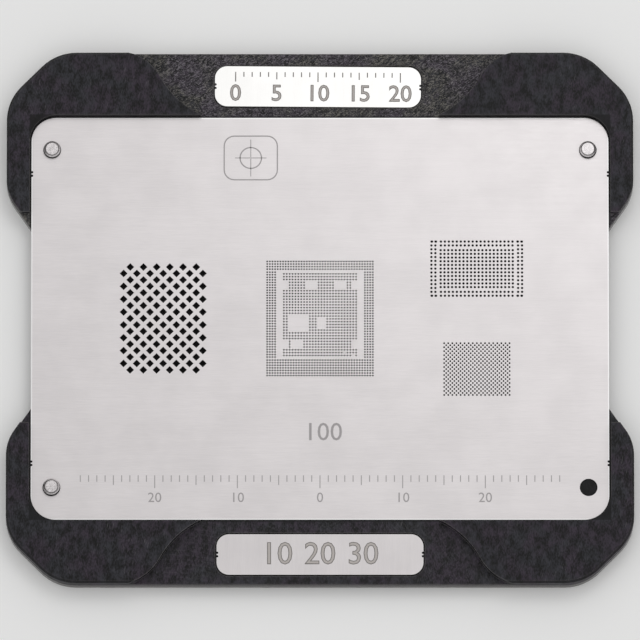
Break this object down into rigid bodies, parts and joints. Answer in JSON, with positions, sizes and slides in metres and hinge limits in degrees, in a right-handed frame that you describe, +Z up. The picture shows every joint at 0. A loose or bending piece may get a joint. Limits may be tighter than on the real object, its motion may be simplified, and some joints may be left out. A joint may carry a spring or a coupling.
{
  "type": "solder paste stencil",
  "caption": "Thin steel solder paste stencil with fine aperture fields, lying on a black magnetic base with raised corner blocks, locating pins and two marking plates.",
  "frame": {"origin": "centre of the underside of the base, on the surface that it lies on", "axes": "+X to the right along the long side, +Y to the rear, +Z up through the sheet"},
  "size_m": [0.076, 0.066, 0.003],
  "materials": {
    "base_composite": "milled black fibre composite, matt",
    "stencil_steel": "finely brushed stainless sheet",
    "plate_steel": "brushed stainless",
    "pin_steel": "turned bright steel",
    "magnet_nickel": "nickel plated"
  },
  "bodies": {
    "root": {"base_plate": "base_composite", "stencil_sheet": "stencil_steel", "pin_rear_left": "pin_steel", "pin_rear_right": "pin_steel", "pin_front_left": "pin_steel", "marking_plate_rear": "plate_steel", "marking_plate_front": "plate_steel", "magnet_1": "magnet_nickel", "magnet_2": "magnet_nickel", "magnet_3": "magnet_nickel", "magnet_4": "magnet_nickel", "magnet_5": "magnet_nickel", "magnet_6": "magnet_nickel", "magnet_7": "magnet_nickel", "magnet_8": "magnet_nickel", "magnet_9": "magnet_nickel", "magnet_10": "magnet_nickel", "magnet_11": "magnet_nickel", "magnet_12": "magnet_nickel"}
  },
  "joints": []
}
